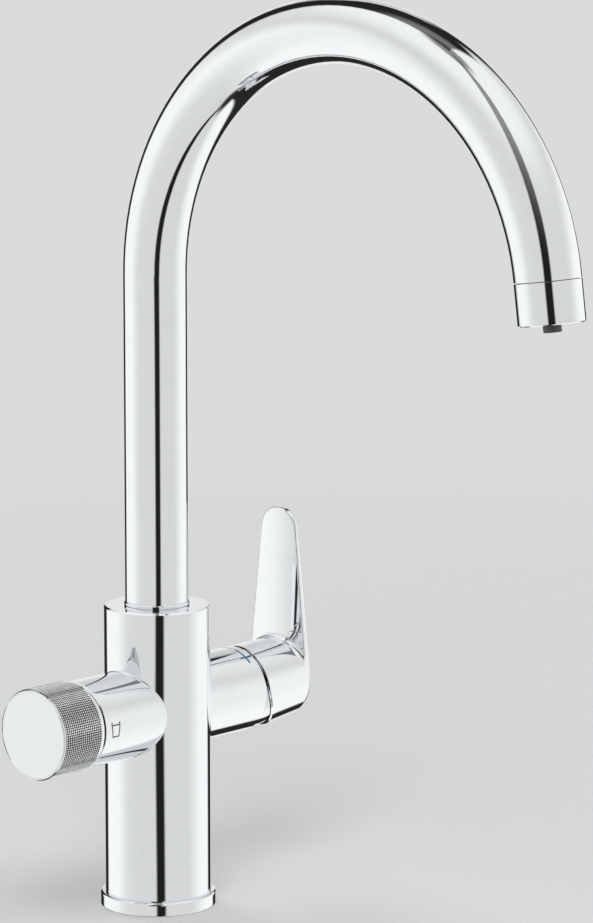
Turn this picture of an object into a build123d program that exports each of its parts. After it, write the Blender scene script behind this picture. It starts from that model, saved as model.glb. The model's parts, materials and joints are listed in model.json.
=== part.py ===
from build123d import *
import os
from math import asin, cos, degrees, radians, sin, tan

# Water filter kitchen tap, in millimetres.
# The origin is on the worktop, at the body's axis. +Z is up, the spout reaches to -Y,
# the filtered water knob is on -X and the mixer lever is on +X.

os.makedirs("parts", exist_ok=True)

# Fits
PRESS_GAP = 0.02
RUN_GAP = 0.08
SHOW_GAP = 0.35

# Body column
BODY_R = 23.5
BODY_TOP = 135.5
BODY_CHAMFER = 0.7
BODY_CAVITY_R = 20.0
BODY_CAVITY_TOP = 58.0

# Side arms: the knob's hub on -X and the lever's housing on +X
ARM_Z = 89.2
ARM_R = 19.25
ARM_CHAMFER = 0.4
ARM_ROOT_FILLET = 0.8
HUB_END = 52.0
HOUSING_END = 51.0

# Base ring and its seal on the worktop
RING_R = 25.7
RING_H = 6.0
RING_TOP_ROUND = 1.2
RING_FOOT_ROUND = 0.5
RING_COLLAR_H = 5.0
RING_COLLAR_WALL = 2.4
SPIGOT_R = 17.2
SPIGOT_BORE_R = 15.8
SPIGOT_L = 6.0
SPIGOT_CHAMFER = 0.6
SEAL_R = 23.5
SEAL_INNER_R = 17.5
SEAL_H = 2.0

# Spout
TUBE_R = 14.0
TUBE_WALL = 1.25
TUBE_BOTTOM = 129.5
RISER_TOP = 282.4
ARCH_R = 110.0
ARCH_TURN = 172.4
OUTLET_L = 17.75
COLLAR_R = 14.45
COLLAR_H = 1.25
SWIVEL_HALF_TURN = 75.0

# Spout bore in the body, and the foot that turns in it
SPOUT_BORE_R = 14.3
SPOUT_FLOOR = 108.0
FOOT_BOTTOM = 112.0
FOOT_BORE_R = 10.5
FOOT_TOP = 140.0
RING_GROOVE_R = 13.0
RING_GROOVE_H = 2.4
UPPER_RING_Z = 126.4
LOWER_RING_Z = 112.6
ORING_MAJOR = 13.35
ORING_MINOR = 0.9
ORING_HEIGHTS = (121.6, 124.4)
STOP_Z = 117.75
STOP_SCREW_R = 2.5
STOP_GROOVE_R = 12.0
STOP_SIDE_GAP = 0.6

# Filtered water line inside the spout
FILTER_TUBE_R = 4.0
FILTER_TUBE_BORE = 2.7
FILTER_TUBE_START = 124.0
NIPPLE_R = 3.5
NIPPLE_BORE = 2.2
NIPPLE_TOP = 122.0
NIPPLE_SEAL_Z = 118.0
NIPPLE_FLANGE_R = 5.5
NIPPLE_FLANGE_H = 2.5
NIPPLE_THREAD_R = 4.0
NIPPLE_THREAD_L = 5.0
FITTING_R = 5.6

# Outlet and aerator, measured along the flow from the seam
CONNECTOR_R = 12.7
CONNECTOR_BORE = 11.3
CONNECTOR_L = 8.0
CONNECTOR_INSET = 5.0
SLEEVE_LIP_R = 11.6
SLEEVE_LIP_H = 3.0
AERATOR_R = 12.6
AERATOR_FACE_BACK = 0.7
NOZZLE_R = 3.8
NOZZLE_BORE = 2.6
NOZZLE_PROUD = 3.4
NOZZLE_SOCKET_R = 5.4
NOZZLE_SOCKET_L = 3.5

# Mixer cartridge, measured along +X from the floor of its bore
CARTRIDGE_FLOOR = 32.0
CARTRIDGE_R = 14.0
CARTRIDGE_BORE = 12.2
CARTRIDGE_FLANGE_R = 15.7
CARTRIDGE_FLANGE_TOP = 8.0
CARTRIDGE_SHOULDER = 20.0
CARTRIDGE_NECK_R = 11.5
CARTRIDGE_NECK_TOP = 25.0
BASE_BOTTOM = 1.0
BASE_TOP = 4.0
FIXED_DISC_TOP = 7.5
MOVING_DISC_TOP = 10.8
CARRIER_TOP = 15.2
ROTOR_FLANGE = 15.6
ROTOR_R = 9.4
ROTOR_TOP = 32.0
MOVING_DISC_R = 9.0
PORT_R = 2.6
PORT_PITCH = 6.2
NUT_R = 16.0
NUT_L = 6.2
NUT_SLOT = 2.0

# Lever motion: the pivot sits at the dome's centre, on the arm's axis
PIVOT_X = 58.0
LEVER_TRAVEL = 25.0
PIN_R = 1.5
STEM_THICK = 5.0
STEM_WIDE = 7.0
STEM_REACH = 23.0
STEM_INNER = 12.6
STEM_ROD_R = 1.6
EYE_R = 4.2
BALL_R = 2.2

# Dome that covers the cartridge, and the space that the lever's cap keeps round it
DOME_R = 18.2
DOME_WALL = 1.2
DOME_MOUTH_R = 10.6
DOME_SEAT_R = 17.7
DOME_SEAT_L = 4.1
DOME_STEP = 0.5
CAP_CAVITY_R = 18.55

# Lever: at rest the tapered cap's axis rises a little outwards, and the blade stands upright
CAP_R = 19.3
CAP_RISE = 3.8
CAP_END = 24.6
CAP_END_R = 18.1
CAP_ROUND = 3.0
CAP_RIM = 52.6
RIM_CUT_R = 36.0
RIM_CUT_RISE = 8.0
BOSS_R = 5.8
BOSS_START = 12.5
BLADE_INNER = 76.5
BLADE_OUTER = 84.6
BLADE_INNER_R = 60.0
BLADE_OUTER_R = 70.0
BLADE_TOP = 168.8
BLADE_TIP_R = 10.6
BLADE_FOOT_R = 17.6
BLADE_FOOT_RISE = 2.2
BLADE_START = 62.0
BLADE_HALFWAY = 80.8
BLADE_LEAN = 1.8
BLADE_ROUND = 0.9
BLADE_INNER_ROUND = 1.0
FOLD_ROUND = 3.0
GRUB_AT = 21.4
GRUB_R = 2.0
GRUB_TIP_GAP = 0.1
GRUB_L = 8.0
PLUG_R = 2.2
PLUG_L = 2.5
PLUG_BACK = 0.4

# Filter headpart, measured along -X from the seat in the hub
SEAT_X = 22.0
SEAT_SEAL_H = 0.9
HEADPART_R = 9.0
HEADPART_BORE = 7.2
HEADPART_THREAD_R = 9.5
THREAD_START = 9.0
HEX_START = 14.0
HEX_END = 19.0
HEADPART_HEX_AF = 24.0
HEADPART_NECK_R = 7.5
HEADPART_END = 37.0
WINDOW_WIDE = 4.0
HUB_RECESS_R = 15.0
CHAMBER_R = 11.0
CHAMBER = (3.0, 8.6)
SPINDLE_R = 4.0
SPINDLE_FLANGE_R = 6.7
SPINDLE_END = 46.5
VALVE_DISC_R = 6.9
VALVE_DISC_H = 3.0
VALVE_HOLE = (2.2, 5.4)
VALVE_HOLE_HALF_ANGLE = 38.0
SPINDLE_RING_MAJOR = 3.45
SPINDLE_RING_MINOR = 0.6
SPINDLE_RINGS = (24.0, 29.0)
CLIP_H = 0.8

# Knob, measured from the same seat
KNOB_R = 20.0
KNOB_START = 31.1
KNOB_BAND = (32.7, 54.5)
KNOB_FACE = 55.2
KNOB_BORE_R = 18.0
KNOB_CAP_R = 19.05
KNOB_CAP_H = 1.8
KNURL_COUNT = 120
KNURL_DEPTH = 0.35
INSERT_SKIRT = (33.2, 43.0)
INSERT_TOP = 48.0
INSERT_WALL = 1.1
INSERT_BOSS_R = 6.5
KNOB_TRAVEL = 90.0
STOP_RING = (31.8, 36.0)
STOP_RING_R = 12.3
STOP_TAB_R = 16.4
STOP_RIB_R = 13.0
STOP_TAB_HALF = 100.0
STOP_RIB_HALF = 33.0
KNOB_SCREW_R = 2.0
KNOB_SCREW_L = 8.0

# Inlets, seen from above: hot, cold and filtered, and the mounting stud
INLET_R = 3.6
INLET_L = 11.0
HOT_XY = (9.5, 6.2)
COLD_XY = (9.5, -6.2)
FILTER_XY = (-8.5, -7.5)
STUD_XY = (-3.0, 11.8)
STUD_R = 3.0
STUD_PITCH = 1.0
STUD_TOP = 68.0
STUD_BOTTOM = -88.0

# Clamp under the worktop
WORKTOP = 40.0
CLAMP_R = 25.0
GASKET_H = 3.0
PLATE_H = 3.0
HOSE_SLOT_R = 4.6
STUD_NUT_AF = 10.0
STUD_NUT_L = 12.0

# Marks let into the chrome
MARK_DEPTH = 0.2
MARK_LINE = 1.1
MARK_X = 46.5
GLASS_X = -45.6
GLASS_TOP_W = 5.6
GLASS_FOOT_W = 4.2
GLASS_H = 6.6
GLASS_LINE = 0.6
GLASS_WATER = 1.2

UP = Plane.XY
LEVER_SIDE = Plane(origin=(CARTRIDGE_FLOOR, 0, ARM_Z), x_dir=(0, 1, 0), z_dir=(1, 0, 0))
KNOB_SIDE = Plane(origin=(-SEAT_X, 0, ARM_Z), x_dir=(0, -1, 0), z_dir=(-1, 0, 0))
SPOUT_SIDE = Plane(origin=(0, 0, 0), x_dir=(0, -1, 0), z_dir=(-1, 0, 0))


def rod(radius, low, high, at=(0, 0), place=UP):
    """A round bar along the place's own Z axis, from low to high."""
    bar = Cylinder(radius, high - low, align=(Align.CENTER, Align.CENTER, Align.MIN))
    return place * Pos(at[0], at[1], low) * bar


def tube(outer, inner, low, high, at=(0, 0), place=UP):
    """A round tube along the place's own Z axis."""
    return rod(outer, low, high, at, place) - rod(inner, low - 1, high + 1, at, place)


def turned(corners, place=UP):
    """A solid turned about the place's own Z axis from (radius, height) corners."""
    outline = Plane.XZ * Polyline(*corners, close=True)
    return place * revolve(make_face(outline), Axis.Z, 360)


def hexagon(across_flats, low, high, at=(0, 0), place=UP):
    """A hexagonal bar along the place's own Z axis."""
    section = RegularPolygon(across_flats / 2, 6, major_radius=False)
    return place * Pos(at[0], at[1], low) * extrude(section, high - low)


def drilled(start, end, radius):
    """A straight round channel between two points."""
    start, end = Vector(*start), Vector(*end)
    along = end - start
    line = Plane(origin=start, z_dir=along.normalized())
    return rod(radius, 0, along.length, place=line)


def sector(inner, outer, low, high, centre_angle, half_angle, place=UP):
    """A piece of a ring: the part within half_angle of centre_angle."""
    start = centre_angle - half_angle
    edges = [
        CenterArc((0, 0), outer, start, 2 * half_angle),
        CenterArc((0, 0), inner, start, 2 * half_angle),
        Line(polar(inner, start), polar(outer, start)),
        Line(polar(inner, start + 2 * half_angle), polar(outer, start + 2 * half_angle)),
    ]
    return place * Pos(0, 0, low) * extrude(make_face(edges), high - low)


def polar(radius, angle):
    """The point at a radius and an angle in degrees."""
    return (radius * cos(radians(angle)), radius * sin(radians(angle)))


def spout_path(start_height, extra):
    """The spout's centre line: up the riser, round the arch, and on by extra past the seam."""
    riser = Line((0, start_height), (0, RISER_TOP))
    arch = JernArc(riser @ 1, riser % 1, ARCH_R, -ARCH_TURN)
    line = riser + arch
    if extra:
        line += Line(arch @ 1, arch @ 1 + (arch % 1) * extra)
    return SPOUT_SIDE * line


def swept_tube(outer, inner, path):
    """A round tube that follows a path."""
    start = Plane(origin=path @ 0, z_dir=path % 0)
    return sweep(start * (Circle(outer) - Circle(inner)), path=path)


SEAM_PATH = spout_path(TUBE_BOTTOM, 0)
SEAM = Plane(origin=SEAM_PATH @ 1, x_dir=(1, 0, 0), z_dir=SEAM_PATH % 1)


def glass_mark():
    """The drinking glass sign on the hub: a tapered outline with a water line."""
    half_top, half_foot, half_h = GLASS_TOP_W / 2, GLASS_FOOT_W / 2, GLASS_H / 2
    whole = make_face(Polyline((-half_top, half_h), (-half_foot, -half_h),
                               (half_foot, -half_h), (half_top, half_h), close=True))
    hollow = offset(whole, -GLASS_LINE, kind=Kind.INTERSECTION)
    water = Pos(0, half_h - GLASS_WATER) * Rectangle(GLASS_TOP_W, GLASS_LINE)
    open_top = Pos(0, half_h - GLASS_LINE / 2) * Rectangle(GLASS_TOP_W - 3 * GLASS_LINE, GLASS_LINE * 1.1)
    sign = whole - hollow - open_top + (water & whole)
    front = Plane(origin=(GLASS_X, 0, ARM_Z), x_dir=(1, 0, 0), z_dir=(0, -1, 0))
    stamp = front * extrude(sign, 2 * ARM_R)
    return stamp & arm_skin(-HUB_END)


def arm_skin(end):
    """The thin outer skin of a side arm, from the body's axis to its end."""
    low, high = min(0, end), max(0, end)
    along = Plane(origin=(0, 0, ARM_Z), x_dir=(0, 1, 0), z_dir=(1, 0, 0))
    return tube(ARM_R, ARM_R - MARK_DEPTH, low, high, place=along)


def arm_stripe(x, wide, from_angle, to_angle):
    """A band of the housing's skin; angles are in degrees, 0 at the front and 90 on top."""
    across = Plane(origin=(0, 0, ARM_Z), x_dir=(0, -1, 0), z_dir=(-1, 0, 0))
    middle, half = (from_angle + to_angle) / 2, (to_angle - from_angle) / 2
    return sector(ARM_R - MARK_DEPTH, ARM_R, -x - wide / 2, -x + wide / 2, middle, half, across)


def hot_mark():
    """The red dash on the housing, behind the top."""
    return arm_stripe(MARK_X, MARK_LINE, 84, 112)


def cold_mark():
    """The blue dash on the housing, in front of the top, with its cross stroke."""
    dash = arm_stripe(MARK_X, MARK_LINE, 47.5, 80)
    half_stroke = degrees(MARK_LINE / 2 / ARM_R)
    return dash + arm_stripe(MARK_X, 6.8, 58 - half_stroke, 58 + half_stroke)


def body_column():
    """The cast body: column, hub, housing, their bores and the water channels."""
    column = rod(BODY_R, RING_H, BODY_TOP)
    column = chamfer(column.edges().filter_by(GeomType.CIRCLE).sort_by(Axis.Z)[-1], BODY_CHAMFER)
    along = Plane(origin=(0, 0, ARM_Z), x_dir=(0, 1, 0), z_dir=(1, 0, 0))
    arms = rod(ARM_R, -HUB_END, HOUSING_END, place=along)
    arms = chamfer(arms.edges().filter_by(GeomType.CIRCLE), ARM_CHAMFER)
    body = column + arms
    roots = [e for e in body.edges() if e.geom_type not in (GeomType.CIRCLE, GeomType.LINE)]
    body = fillet(roots, ARM_ROOT_FILLET)
    # hollow foot of the column, and the bore that the spout turns in
    body -= rod(BODY_CAVITY_R, 0, BODY_CAVITY_TOP)
    body -= rod(SPOUT_BORE_R, SPOUT_FLOOR, BODY_TOP + 1)
    # cartridge bore, nut thread and dome seat
    body -= rod(CARTRIDGE_FLANGE_R + 0.2, 0, CARTRIDGE_FLANGE_TOP, place=LEVER_SIDE)
    body -= rod(NUT_R, CARTRIDGE_FLANGE_TOP - 0.5, ROTOR_TOP, place=LEVER_SIDE)
    body -= rod(DOME_SEAT_R, HOUSING_END - DOME_SEAT_L - CARTRIDGE_FLOOR, ROTOR_TOP, place=LEVER_SIDE)
    # headpart seat, water chamber, thread and recess
    body -= rod(HEADPART_THREAD_R, 0, HEX_START + 1, place=KNOB_SIDE)
    body -= rod(CHAMBER_R, *CHAMBER, place=KNOB_SIDE)
    body -= rod(HUB_RECESS_R, HEX_START, KNOB_START, place=KNOB_SIDE)
    body -= water_channels()
    # threaded holes for the three hoses, the stud and the spout's stop screw
    for xy in (HOT_XY, COLD_XY, FILTER_XY):
        body -= rod(INLET_R, BODY_CAVITY_TOP - 1, BODY_CAVITY_TOP + INLET_L, xy)
    body -= rod(STUD_R + PRESS_GAP, BODY_CAVITY_TOP - 1, STUD_TOP + 1, STUD_XY)
    body -= drilled((0, 0, STOP_Z), (0, BODY_R + 1, STOP_Z), STOP_SCREW_R + PRESS_GAP)
    body -= rod(NIPPLE_THREAD_R, SPOUT_FLOOR - NIPPLE_THREAD_L, SPOUT_FLOOR + 1)
    return body - glass_mark() - hot_mark() - cold_mark()


def water_channels():
    """Channels from the inlets to the valves, and from the valves to the spout."""
    low = BODY_CAVITY_TOP + INLET_L - 1
    ports_z = ARM_Z - PORT_PITCH / 2
    floor = CARTRIDGE_FLOOR + 1
    channels = []
    for x, y in (HOT_XY, COLD_XY):
        channels.append(drilled((x, y, low), (x, y, ports_z), PORT_R))
        channels.append(drilled((x - PORT_R, y, ports_z), (floor, y, ports_z), PORT_R))
    mixed_z = ARM_Z + PORT_PITCH
    channels.append(drilled((HOT_XY[0] - 0.5, 0, mixed_z), (floor, 0, mixed_z), PORT_R))
    channels.append(drilled((HOT_XY[0], 0, mixed_z - PORT_R), (HOT_XY[0], 0, SPOUT_FLOOR + 1), PORT_R))
    # filtered water: up to the headpart's seat, then from its chamber to the nipple
    x, y = FILTER_XY
    channels.append(drilled((x, y, low), (x, y, ARM_Z + PORT_R), PORT_R))
    channels.append(drilled((x, y, ARM_Z), (-SEAT_X - 1, 0, ARM_Z), PORT_R))
    chamber_top = ARM_Z + HEADPART_THREAD_R
    nipple_foot = SPOUT_FLOOR - NIPPLE_THREAD_L
    channels.append(drilled((-SEAT_X - 5, 0, chamber_top), (0, 0, nipple_foot), NIPPLE_BORE))
    channels.append(drilled((0, 0, nipple_foot - NIPPLE_BORE), (0, 0, nipple_foot + 1), NIPPLE_BORE))
    return Part() + channels


def outer_circle(ring, height):
    """The ring's outermost circular edge at a height."""
    circles = [edge for edge in ring.edges().filter_by(GeomType.CIRCLE) if edge.radius > RING_R - 0.01]
    return [edge for edge in circles if abs(edge.center().Z - height) < 0.01]


def base_ring():
    """The trim ring under the body, with a collar up into it and a spigot down into the tap hole."""
    collar_r = BODY_CAVITY_R - 0.05
    ring = turned([
        (SPIGOT_R, -SPIGOT_L + SPIGOT_CHAMFER), (SPIGOT_R - SPIGOT_CHAMFER, -SPIGOT_L),
        (SPIGOT_BORE_R, -SPIGOT_L), (SPIGOT_BORE_R, RING_H - 1.5), (collar_r - RING_COLLAR_WALL, RING_H),
        (collar_r - RING_COLLAR_WALL, RING_H + RING_COLLAR_H), (collar_r, RING_H + RING_COLLAR_H),
        (collar_r, RING_H), (RING_R, RING_H), (RING_R, 0), (SEAL_R, 0), (SEAL_R, SEAL_H),
        (SEAL_INNER_R, SEAL_H), (SEAL_INNER_R, 0), (SPIGOT_R, 0),
    ])
    ring = fillet(outer_circle(ring, 0), RING_FOOT_ROUND)
    return fillet(outer_circle(ring, RING_H), RING_TOP_ROUND)


def base_seal():
    """The flat rubber seal that lies on the worktop."""
    return tube(SEAL_R - 0.05, SEAL_INNER_R + 0.05, 0, SEAL_H)


def threaded_rod(radius, pitch, low, high, plain_from):
    """A stud with thread grooves up to plain_from, and plain above it."""
    depth = 0.54 * pitch
    turns = int((plain_from - low) / pitch)
    corners = [(0, low), (radius - depth, low)]
    for turn in range(turns):
        z = low + turn * pitch
        corners += [(radius, z + 0.45 * pitch), (radius, z + 0.55 * pitch), (radius - depth, z + pitch)]
    corners += [(radius, low + turns * pitch + 0.45 * pitch), (radius, high), (0, high)]
    return turned(corners, Pos(STUD_XY[0], STUD_XY[1], 0))


def mounting_stud():
    """The stud that pulls the tap down on to the worktop."""
    return threaded_rod(STUD_R, STUD_PITCH, STUD_BOTTOM, STUD_TOP, -WORKTOP + 5)


def horseshoe(radius, low, high):
    """A horseshoe that passes round the hoses, with a hole for the stud."""
    mouth = [(xy[0], -2 * CLAMP_R) for xy in (COLD_XY, FILTER_XY)]
    hoses = [Pos(*xy) * Circle(HOSE_SLOT_R) for xy in (HOT_XY, COLD_XY, FILTER_XY, *mouth)]
    slot = make_hull([edge for hose in hoses for edge in hose.edges()])
    outline = Circle(radius) - slot - Pos(*STUD_XY) * Circle(STUD_R + 0.3)
    return Pos(0, 0, low) * extrude(outline, high - low)


def clamp_gasket():
    """The rubber horseshoe against the underside of the worktop."""
    return horseshoe(CLAMP_R, -WORKTOP - GASKET_H, -WORKTOP)


def clamp_plate():
    """The steel horseshoe that spreads the stud's pull."""
    return horseshoe(CLAMP_R - 0.5, -WORKTOP - GASKET_H - PLATE_H, -WORKTOP - GASKET_H)


def clamp_nut():
    """The long nut on the stud, with a flange against the plate."""
    top = -WORKTOP - GASKET_H - PLATE_H
    nut = hexagon(STUD_NUT_AF, top - STUD_NUT_L, top - 1.5, STUD_XY)
    nut += rod(STUD_NUT_AF * 0.7, top - 1.6, top, STUD_XY)
    return nut - rod(STUD_R + PRESS_GAP, top - STUD_NUT_L - 1, top + 1, STUD_XY)


def spout_tube():
    """The chromed tube: riser and arch in one bend."""
    return swept_tube(TUBE_R, TUBE_R - TUBE_WALL, SEAM_PATH)


def spout_foot():
    """The brass foot brazed into the tube, with ring grooves, the swivel stop and a spider."""
    inner = TUBE_R - TUBE_WALL - PRESS_GAP
    foot = rod(TUBE_R, FOOT_BOTTOM, TUBE_BOTTOM) + rod(inner, TUBE_BOTTOM - 0.5, FOOT_TOP)
    foot -= rod(FOOT_BORE_R, FOOT_BOTTOM - 1, FOOT_TOP + 1)
    for z in (UPPER_RING_Z, LOWER_RING_Z):
        foot -= tube(TUBE_R + 1, RING_GROOVE_R, z, z + RING_GROOVE_H)
    for z in ORING_HEIGHTS:
        foot -= Pos(0, 0, z) * Torus(ORING_MAJOR, ORING_MINOR + PRESS_GAP)
    half = SWIVEL_HALF_TURN + degrees(asin((STOP_SCREW_R + STOP_SIDE_GAP) / STOP_GROOVE_R))
    groove_half_h = STOP_SCREW_R + STOP_SIDE_GAP / 2
    foot -= sector(STOP_GROOVE_R, TUBE_R + 1, STOP_Z - groove_half_h, STOP_Z + groove_half_h, 90, half)
    spider_low, spider_high = FILTER_TUBE_START - 3, FILTER_TUBE_START + 3
    for angle in (0, 120, 240):
        arm = Pos(0, 0, spider_low) * Box(FOOT_BORE_R + 0.5, 2, spider_high - spider_low,
                                          align=(Align.MIN, Align.CENTER, Align.MIN))
        foot += Rot(0, 0, angle) * arm
    return foot - rod(FITTING_R + PRESS_GAP, spider_low - 1, spider_high + 1)


def spout_slide_rings():
    """The two plastic rings that the spout turns on."""
    outer = SPOUT_BORE_R - RUN_GAP
    rings = [tube(outer, RING_GROOVE_R + PRESS_GAP, z + 0.05, z + RING_GROOVE_H - 0.05)
             for z in (UPPER_RING_Z, LOWER_RING_Z)]
    return Part() + rings


def spout_seals():
    """The two rubber rings that keep the mixed water in the bore."""
    return Part() + [Pos(0, 0, z) * Torus(ORING_MAJOR, ORING_MINOR) for z in ORING_HEIGHTS]


def spout_collar():
    """The thin bright ring round the foot of the riser."""
    low = BODY_TOP + SHOW_GAP
    high = low + COLLAR_H
    return turned([(TUBE_R + PRESS_GAP, low), (COLLAR_R, low), (COLLAR_R, high - 0.3),
                   (COLLAR_R - 0.3, high), (TUBE_R + PRESS_GAP, high)])


def spout_stop_screw():
    """The grub screw at the back of the body, whose tip runs in the foot's groove."""
    tip, tail = STOP_GROOVE_R + 0.4, BODY_R - 0.6
    along = Plane(origin=(0, 0, STOP_Z), x_dir=(1, 0, 0), z_dir=(0, 1, 0))
    screw = rod(STOP_SCREW_R, tip, tail, place=along)
    return screw - hexagon(2.5, tail - 2.5, tail + 1, place=along)


def filter_nipple():
    """The pipe end in the body that feeds the spout's inner tube."""
    top_of_flange = SPOUT_FLOOR + NIPPLE_FLANGE_H
    nipple = rod(NIPPLE_THREAD_R - PRESS_GAP, SPOUT_FLOOR - NIPPLE_THREAD_L, SPOUT_FLOOR)
    nipple += rod(NIPPLE_FLANGE_R, SPOUT_FLOOR, top_of_flange) + rod(NIPPLE_R, SPOUT_FLOOR, NIPPLE_TOP)
    nipple -= rod(NIPPLE_BORE, SPOUT_FLOOR - NIPPLE_THREAD_L - 1, NIPPLE_TOP + 1)
    return nipple - tube(NIPPLE_R + 1, NIPPLE_R - 0.7, NIPPLE_SEAL_Z, NIPPLE_SEAL_Z + 1.5)


def nipple_seal():
    """The small rubber ring on the nipple."""
    return tube(NIPPLE_R + 0.03, NIPPLE_R - 0.65, NIPPLE_SEAL_Z + 0.1, NIPPLE_SEAL_Z + 1.4)


def filter_fitting():
    """The brass socket that turns on the nipple and holds the inner tube."""
    low, high = SPOUT_FLOOR + NIPPLE_FLANGE_H + SHOW_GAP, FILTER_TUBE_START + 4
    socket = rod(FITTING_R, low, high) - rod(NIPPLE_R + RUN_GAP, low - 1, FILTER_TUBE_START - 1)
    socket -= rod(FILTER_TUBE_BORE, low, high + 1)
    return socket - rod(FILTER_TUBE_R + PRESS_GAP, FILTER_TUBE_START, high + 1)


def filter_tube():
    """The plastic tube that carries filtered water through the spout to the nozzle."""
    path = spout_path(FILTER_TUBE_START, CONNECTOR_L - 1)
    return swept_tube(FILTER_TUBE_R, FILTER_TUBE_BORE, path)


def outlet_connector():
    """The threaded ring brazed into the tube's end, a little narrower where the tube bends."""
    ring = rod(CONNECTOR_R, 0, CONNECTOR_L - 1, place=SEAM)
    ring += rod(CONNECTOR_R - 0.1, -CONNECTOR_INSET, 0, place=SEAM)
    return ring - rod(CONNECTOR_BORE, -CONNECTOR_INSET - 1, CONNECTOR_L, place=SEAM)


def outlet_sleeve():
    """The chromed sleeve that screws on below the seam and holds the aerator."""
    end = OUTLET_L
    lip = end - SLEEVE_LIP_H
    inner = CONNECTOR_R + PRESS_GAP
    return turned([(inner, SHOW_GAP), (TUBE_R - 0.15, SHOW_GAP), (TUBE_R, SHOW_GAP + 0.15),
                   (TUBE_R, end - 0.4), (TUBE_R - 0.4, end), (SLEEVE_LIP_R + 0.3, end),
                   (SLEEVE_LIP_R, end - 0.3), (SLEEVE_LIP_R, lip), (inner, lip)], SEAM)


def aerator_seal():
    """The flat ring between the connector and the aerator."""
    return tube(CONNECTOR_R - 0.1, FOOT_BORE_R, CONNECTOR_L - 1, CONNECTOR_L, place=SEAM)


def aerator_insert():
    """The plastic jet plate, with two rings of holes round the nozzle's bore."""
    low, lip, face = CONNECTOR_L, OUTLET_L - SLEEVE_LIP_H, OUTLET_L - AERATOR_FACE_BACK
    insert = rod(AERATOR_R, low + 1, lip, place=SEAM) + rod(SLEEVE_LIP_R - 0.1, low, face, place=SEAM)
    insert -= rod(NOZZLE_R + PRESS_GAP, low - 1, face + 1, place=SEAM)
    for ring_r, count, hole_r in ((9.6, 20, 0.75), (7.0, 14, 0.75)):
        for index in range(count):
            insert -= rod(hole_r, low - 1, face + 1, polar(ring_r, 360 * index / count), SEAM)
    return insert


def filter_nozzle():
    """The grey nozzle in the middle of the outlet, for filtered water alone."""
    socket_end, end = CONNECTOR_L - 1, OUTLET_L + NOZZLE_PROUD
    socket_start = socket_end - NOZZLE_SOCKET_L
    nozzle = rod(NOZZLE_R, socket_end, end, place=SEAM)
    nozzle = chamfer(nozzle.edges().filter_by(GeomType.CIRCLE).sort_by(Axis.Z)[0], 0.3)
    nozzle += rod(NOZZLE_SOCKET_R, socket_start, CONNECTOR_L - 0.2, place=SEAM)
    nozzle -= rod(FILTER_TUBE_R + PRESS_GAP, socket_start - 1, socket_end, place=SEAM)
    return nozzle - rod(NOZZLE_BORE, socket_start, end + 1, place=SEAM)


def cartridge_ports(radius, low, high):
    """The three port shapes in the cartridge's base and fixed disc."""
    below = -PORT_PITCH / 2
    spots = ((HOT_XY[1], below), (COLD_XY[1], below), (0, PORT_PITCH))
    return Part() + [rod(radius, low, high, spot, LEVER_SIDE) for spot in spots]


def cartridge_seals():
    """The three rubber rings between the cartridge and the floor of its bore."""
    return cartridge_ports(PORT_R + 0.9, 0, BASE_BOTTOM) - cartridge_ports(PORT_R, -1, BASE_BOTTOM + 1)


def cartridge_base():
    """The plate that closes the cartridge, with its hot, cold and mixed ports."""
    plate = rod(CARTRIDGE_FLANGE_R, BASE_BOTTOM, BASE_TOP, place=LEVER_SIDE)
    return plate - cartridge_ports(PORT_R, 0, BASE_TOP + 1)


def cartridge_fixed_disc():
    """The ceramic disc that stays still."""
    disc = rod(CARTRIDGE_BORE - 0.1, BASE_TOP, FIXED_DISC_TOP, place=LEVER_SIDE)
    return disc - cartridge_ports(PORT_R, 0, FIXED_DISC_TOP + 1)


def cartridge_case():
    """The cartridge's outer case, with a foot flange for the nut and a neck for the rotor."""
    neck_bore = ROTOR_R + RUN_GAP
    return turned([
        (CARTRIDGE_BORE, BASE_TOP), (CARTRIDGE_FLANGE_R, BASE_TOP),
        (CARTRIDGE_FLANGE_R, CARTRIDGE_FLANGE_TOP), (CARTRIDGE_R, CARTRIDGE_FLANGE_TOP),
        (CARTRIDGE_R, CARTRIDGE_SHOULDER + 1), (CARTRIDGE_NECK_R, CARTRIDGE_SHOULDER + 1),
        (CARTRIDGE_NECK_R, CARTRIDGE_NECK_TOP), (neck_bore, CARTRIDGE_NECK_TOP),
        (neck_bore, CARTRIDGE_SHOULDER), (CARTRIDGE_BORE, CARTRIDGE_SHOULDER),
    ], LEVER_SIDE)


def cartridge_nut():
    """The threaded ring that holds the cartridge down, with four key slots."""
    low, high = CARTRIDGE_FLANGE_TOP, CARTRIDGE_FLANGE_TOP + NUT_L
    nut = tube(NUT_R - PRESS_GAP, CARTRIDGE_R + 0.2, low, high, place=LEVER_SIDE)
    for angle in (0, 90):
        slot = Box(2 * NUT_R + 2, 3, NUT_SLOT, align=(Align.CENTER, Align.CENTER, Align.MIN))
        nut -= LEVER_SIDE * Pos(0, 0, high - NUT_SLOT) * Rot(0, 0, angle) * slot
    return nut


DISC_SHIFT = STEM_INNER * sin(radians(LEVER_TRAVEL / 2))


def cartridge_moving_disc():
    """The ceramic disc that the lever slides over the ports, with its mixing pocket."""
    low = FIXED_DISC_TOP + 0.05
    disc = rod(MOVING_DISC_R, low, MOVING_DISC_TOP, (0, -DISC_SHIFT), LEVER_SIDE)
    pocket = extrude(SlotOverall(2 * PORT_PITCH, 2 * PORT_R), (MOVING_DISC_TOP - low) / 2)
    return disc - LEVER_SIDE * Pos(0, -DISC_SHIFT, low) * pocket


def disc_carrier():
    """The plastic carrier on the moving disc, with the socket for the stem's ball."""
    at = (0, -DISC_SHIFT)
    carrier = rod(MOVING_DISC_R, MOVING_DISC_TOP, CARRIER_TOP, at, LEVER_SIDE)
    return carrier - rod(BALL_R + SHOW_GAP, MOVING_DISC_TOP - 1, CARRIER_TOP + 1, at, LEVER_SIDE)


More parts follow.
